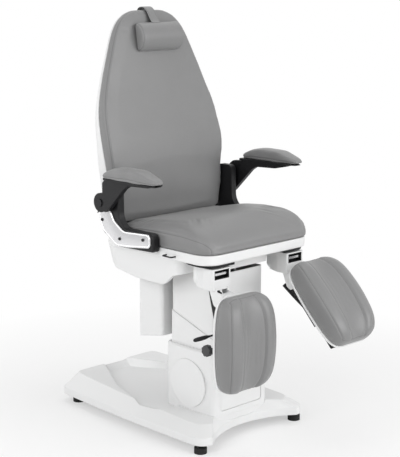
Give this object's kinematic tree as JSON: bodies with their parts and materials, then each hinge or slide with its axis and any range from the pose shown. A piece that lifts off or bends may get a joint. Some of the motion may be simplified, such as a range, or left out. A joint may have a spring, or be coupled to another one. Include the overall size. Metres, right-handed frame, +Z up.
{
  "type": "podiatry treatment chair",
  "caption": "Podiatry chair with a moulded base, telescopic lifting pedestal, tilting seat, reclining backrest, folding armrests and swinging, raising leg rests.",
  "frame": {"origin": "on the floor under the middle of the chair's bounding box", "axes": "+Z up, the sitter faces -Y, +X is the sitter's left hand"},
  "size_m": [0.8232, 1.2098, 1.6314],
  "materials": {
    "white_shell": "white moulded plastic, satin gloss",
    "white_metal": "white powder coat",
    "black_metal": "black powder coat, fine texture",
    "steel": "bright steel",
    "lift_motor": "dark grey enamel",
    "aluminium": "satin anodised",
    "black_plastic": "black, matte",
    "grey_upholstery": "mid grey synthetic leather",
    "plywood": "raw plywood",
    "foot_rubber": "black rubber"
  },
  "bodies": {
    "base": {"base_cover": "white_shell", "base_frame": "black_metal", "levelling_feet": "foot_rubber", "pedestal_cover": "white_shell", "pedestal_front_panel": "white_shell", "lift_guide_tube": "steel", "lift_actuator_body": "lift_motor"},
    "mid_sleeve": {"mid_cover": "white_shell"},
    "lift": {"column_cover": "white_shell", "lift_inner_tube": "steel", "lift_actuator_rod": "steel", "column_head": "black_metal", "tilt_actuator_body": "black_metal", "rear_shroud": "white_shell"},
    "tilt_rod": {"tilt_actuator_rod": "steel"},
    "seat": {"seat_frame": "black_metal", "seat_housing": "white_shell", "seat_tray": "white_shell", "seat_board": "plywood", "seat_cushion": "grey_upholstery", "side_bracket_right": "black_metal", "side_bracket_left": "black_metal", "bracket_trim_right": "aluminium", "bracket_trim_left": "aluminium", "trim_screws": "steel", "side_loop": "black_plastic", "armrest_pin_right": "steel", "armrest_pin_left": "steel", "swivel_plate_right": "black_metal", "swivel_plate_left": "black_metal"},
    "backrest": {"back_cushion": "grey_upholstery", "back_shell": "white_shell", "back_frame": "black_metal", "head_bolster": "grey_upholstery", "head_strap": "grey_upholstery"},
    "armrest_right": {"armrest_arm_right": "black_metal", "armrest_pad_right": "grey_upholstery"},
    "leg_swivel_right": {"leg_swivel_right": "white_metal", "latch_liner_right": "black_plastic"},
    "latch_right": {"latch_bar_right": "steel"},
    "leg_right": {"leg_head_right": "white_metal", "leg_rail_right": "black_metal"},
    "carriage_right": {"rail_carriage_right": "black_metal"},
    "lever_right": {"clamp_lever_right": "black_plastic"},
    "knob_right": {"clamp_knob_right": "black_plastic"},
    "leg_pad_right": {"leg_shell_right": "white_shell", "leg_cushion_right": "grey_upholstery"},
    "armrest_left": {"armrest_arm_left": "black_metal", "armrest_pad_left": "grey_upholstery"},
    "leg_swivel_left": {"leg_swivel_left": "white_metal", "latch_liner_left": "black_plastic"},
    "latch_left": {"latch_bar_left": "steel"},
    "leg_left": {"leg_head_left": "white_metal", "leg_rail_left": "black_metal"},
    "carriage_left": {"rail_carriage_left": "black_metal"},
    "lever_left": {"clamp_lever_left": "black_plastic"},
    "knob_left": {"clamp_knob_left": "black_plastic"},
    "leg_pad_left": {"leg_shell_left": "white_shell", "leg_cushion_left": "grey_upholstery"}
  },
  "joints": [
    {"name": "lift", "type": "slide", "parent": "base", "child": "lift", "axis": [0, 0, 1], "range_m": [-0.2, 0.05]},
    {"name": "mid_sleeve_slide", "type": "slide", "parent": "base", "child": "mid_sleeve", "axis": [0, 0, 1], "range_m": [-0.101, 0.0255]},
    {"name": "seat_tilt", "type": "hinge", "parent": "lift", "child": "seat", "pos_m": [0, 0.039, 0.672], "axis": [-1, 0, 0], "range_deg": [0, 12]},
    {"name": "tilt_rod_slide", "type": "slide", "parent": "lift", "child": "tilt_rod", "axis": [0, 0, 1], "range_m": [0, 0.038]},
    {"name": "backrest_recline", "type": "hinge", "parent": "seat", "child": "backrest", "pos_m": [0, 0.226, 0.8], "axis": [-1, 0, 0], "range_deg": [0, 68]},
    {"name": "armrest_fold_right", "type": "hinge", "parent": "seat", "child": "armrest_right", "pos_m": [-0.345, 0.225, 0.904], "axis": [-1, 0, 0], "range_deg": [0, 90]},
    {"name": "leg_swing_right", "type": "hinge", "parent": "seat", "child": "leg_swivel_right", "pos_m": [-0.2, -0.173, 0.664], "axis": [0, 0, -1], "range_deg": [-5, 45]},
    {"name": "latch_press_right", "type": "slide", "parent": "leg_swivel_right", "child": "latch_right", "axis": [0, 0, 1], "range_m": [0, 0.008], "stiffness_N_per_m": 400, "springref_m": -0.004},
    {"name": "leg_raise_right", "type": "hinge", "parent": "leg_swivel_right", "child": "leg_right", "pos_m": [-0.2, -0.298, 0.6], "axis": [-1, 0, 0], "range_deg": [0, 80]},
    {"name": "leg_extend_right", "type": "slide", "parent": "leg_right", "child": "carriage_right", "axis": [0, 0, -1], "range_m": [0, 0.1]},
    {"name": "lever_lift_right", "type": "hinge", "parent": "carriage_right", "child": "lever_right", "pos_m": [-0.231, -0.319, 0.48], "axis": [0, 1, 0], "range_deg": [0, 25]},
    {"name": "knob_turn_right", "type": "hinge", "parent": "carriage_right", "child": "knob_right", "pos_m": [-0.321, -0.324, 0.43], "axis": [1, 0, 0], "range_deg": [0, 120]},
    {"name": "pad_tilt_right", "type": "hinge", "parent": "carriage_right", "child": "leg_pad_right", "pos_m": [-0.2, -0.324, 0.43], "axis": [1, 0, 0], "range_deg": [-8, 14]},
    {"name": "armrest_fold_left", "type": "hinge", "parent": "seat", "child": "armrest_left", "pos_m": [0.345, 0.225, 0.904], "axis": [-1, 0, 0], "range_deg": [0, 90]},
    {"name": "leg_swing_left", "type": "hinge", "parent": "seat", "child": "leg_swivel_left", "pos_m": [0.2, -0.173, 0.664], "axis": [0, 0, 1], "range_deg": [-5, 45]},
    {"name": "latch_press_left", "type": "slide", "parent": "leg_swivel_left", "child": "latch_left", "axis": [0, 0, 1], "range_m": [0, 0.008], "stiffness_N_per_m": 400, "springref_m": -0.004},
    {"name": "leg_raise_left", "type": "hinge", "parent": "leg_swivel_left", "child": "leg_left", "pos_m": [0.2, -0.298, 0.6], "axis": [-1, 0, 0], "range_deg": [-43, 37]},
    {"name": "leg_extend_left", "type": "slide", "parent": "leg_left", "child": "carriage_left", "axis": [0, -0.682, -0.7314], "range_m": [0, 0.1]},
    {"name": "lever_lift_left", "type": "hinge", "parent": "carriage_left", "child": "lever_left", "pos_m": [0.231, -0.3952, 0.52656], "axis": [0, -0.7314, 0.682], "range_deg": [0, 25]},
    {"name": "knob_turn_left", "type": "hinge", "parent": "carriage_left", "child": "knob_left", "pos_m": [0.321, -0.43295, 0.4934], "axis": [1, 0, 0], "range_deg": [0, 120]},
    {"name": "pad_tilt_left", "type": "hinge", "parent": "carriage_left", "child": "leg_pad_left", "pos_m": [0.2, -0.43295, 0.4934], "axis": [1, 0, 0], "range_deg": [-8, 14]}
  ],
  "couplings": [
    {"joint": "mid_sleeve_slide", "follows": "lift", "ratio": 0.5},
    {"joint": "tilt_rod_slide", "follows": "seat_tilt", "m_per_rad": 0.176}
  ]
}
